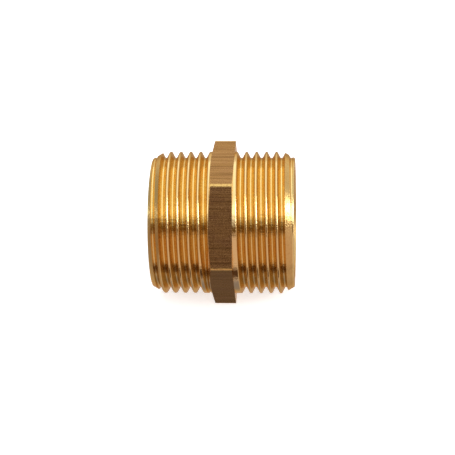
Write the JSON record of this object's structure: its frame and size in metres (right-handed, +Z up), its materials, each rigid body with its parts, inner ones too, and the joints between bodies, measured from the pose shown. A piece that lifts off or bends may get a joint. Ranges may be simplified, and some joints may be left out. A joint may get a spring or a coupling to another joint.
{
  "type": "pipe fitting",
  "caption": "Brass hex nipple with a narrow hexagon between two male parallel pipe threads and a through bore.",
  "frame": {"origin": "centre of the through bore at the middle of the overall length", "axes": "+X along the pipe axis, from the crowned side of the hexagon to its flat side. +Z up, square to the hexagon flat that lies uppermost. +Y completes the right-handed frame and points to a hexagon corner"},
  "size_m": [0.0328, 0.038, 0.033],
  "materials": {
    "brass": "as machined, drawn bar skin on the hexagon"
  },
  "bodies": {
    "root": {"nipple_body": "brass"}
  },
  "joints": []
}
